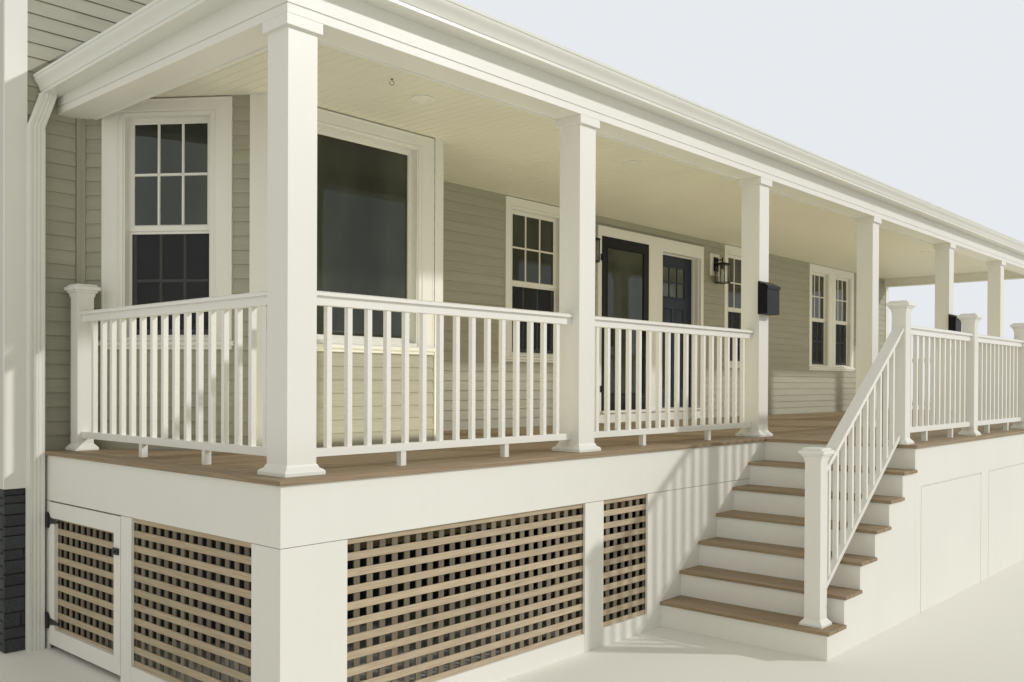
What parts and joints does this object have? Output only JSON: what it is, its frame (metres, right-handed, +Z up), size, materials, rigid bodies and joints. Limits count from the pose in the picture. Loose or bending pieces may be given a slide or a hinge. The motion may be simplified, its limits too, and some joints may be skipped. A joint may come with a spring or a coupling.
{
  "type": "front porch",
  "caption": "Roofed front porch with columns, railings, a side stair with landing, latticed skirt and the house wall behind it with a bay window and two doors.",
  "frame": {"origin": "centre of the bounding box in plan, on the ground", "axes": "+X along the porch front to the right as seen from the street, +Y from the street towards the house, +Z up"},
  "size_m": [16.465, 4.475, 4.98],
  "materials": {
    "deck_boards": "brown composite boards with embossed grain, matt",
    "framing": "pressure-treated softwood, dull",
    "white_trim": "white cellular trim boards, satin",
    "white_vinyl": "white vinyl railing, soft gloss",
    "lattice_wood": "weathered bare wood slats",
    "black_iron": "black powder coat",
    "stair_boards": "brown composite boards with embossed grain, matt",
    "ceiling_boards": "off-white beaded boards, satin",
    "white_metal": "white enamelled aluminium",
    "roof_shingle": "dark grey granulated shingles",
    "masonry": "dark split-faced stone",
    "siding": "grey lap siding with a faint wood grain",
    "dark_glass": "clear glazing that looks dark from outside",
    "storm_black": "black satin paint",
    "door_black": "black satin paint",
    "door_navy": "dark blue satin paint",
    "lamp_trim": "white enamel"
  },
  "bodies": {
    "porch": {"deck_floor": "deck_boards", "landing_floor": "deck_boards", "deck_frame": "framing", "deck_posts": "framing", "front_skirt": "white_trim", "side_skirts": "white_trim", "landing_skirt": "white_trim", "front_lattice_left": "lattice_wood", "front_lattice_right": "lattice_wood", "side_lattices": "lattice_wood", "gate_hinges": "black_iron", "stair_stringers": "white_trim", "stair_risers": "white_trim", "stair_treads": "stair_boards", "columns": "white_trim", "front_beam": "white_trim", "side_beams": "white_trim", "ceiling": "ceiling_boards", "cornice": "white_trim", "gutter": "white_metal", "downspout": "white_metal", "roof": "roof_shingle", "newel_posts": "white_vinyl", "front_rails": "white_vinyl", "side_rails": "white_vinyl", "stair_rail": "white_vinyl", "landing_rails": "white_vinyl", "foundation": "masonry", "house_wall_left": "siding", "house_wall_over_doors": "siding", "house_wall_right": "siding", "corner_boards": "white_trim", "bay_wall": "siding", "bay_windows": "white_vinyl", "wall_windows": "white_vinyl", "window_glass": "dark_glass", "door_frame": "white_trim", "door_hinges": "black_iron", "wall_lantern": "black_iron", "mailboxes": "storm_black", "ceiling_lights": "lamp_trim"},
    "side_gate": {"gate_frame": "white_trim", "gate_lattice": "lattice_wood", "gate_straps": "black_iron"},
    "storm_door": {"storm_door": "storm_black", "storm_glass": "dark_glass"},
    "left_entry_door": {"entry_door_left": "door_black"},
    "right_entry_door": {"entry_door_right": "door_navy"},
    "left_mailbox_lid": {"mailbox_lid_left": "storm_black"},
    "right_mailbox_lid": {"mailbox_lid_right": "storm_black"}
  },
  "joints": [
    {"name": "side_gate_hinge", "type": "hinge", "parent": "porch", "child": "side_gate", "pos_m": [-7.9825, 1.9185, 0.6], "axis": [0, 0, -1], "range_deg": [0, 90]},
    {"name": "storm_door_hinge", "type": "hinge", "parent": "porch", "child": "storm_door", "pos_m": [-1.434, 1.9795, 2.586], "axis": [0, 0, -1], "range_deg": [0, 95]},
    {"name": "left_entry_hinge", "type": "hinge", "parent": "porch", "child": "left_entry_door", "pos_m": [-1.394, 2.1875, 2.586], "axis": [0, 0, 1], "range_deg": [0, 90]},
    {"name": "right_entry_hinge", "type": "hinge", "parent": "porch", "child": "right_entry_door", "pos_m": [0.862, 2.1875, 2.586], "axis": [0, 0, -1], "range_deg": [0, 90]},
    {"name": "left_mailbox_hinge", "type": "hinge", "parent": "porch", "child": "left_mailbox_lid", "pos_m": [-2.64, -0.7845, 2.815], "axis": [-1, 0, 0], "range_deg": [0, 85]},
    {"name": "right_mailbox_hinge", "type": "hinge", "parent": "porch", "child": "right_mailbox_lid", "pos_m": [2.73, -0.7845, 2.815], "axis": [-1, 0, 0], "range_deg": [0, 85]}
  ]
}
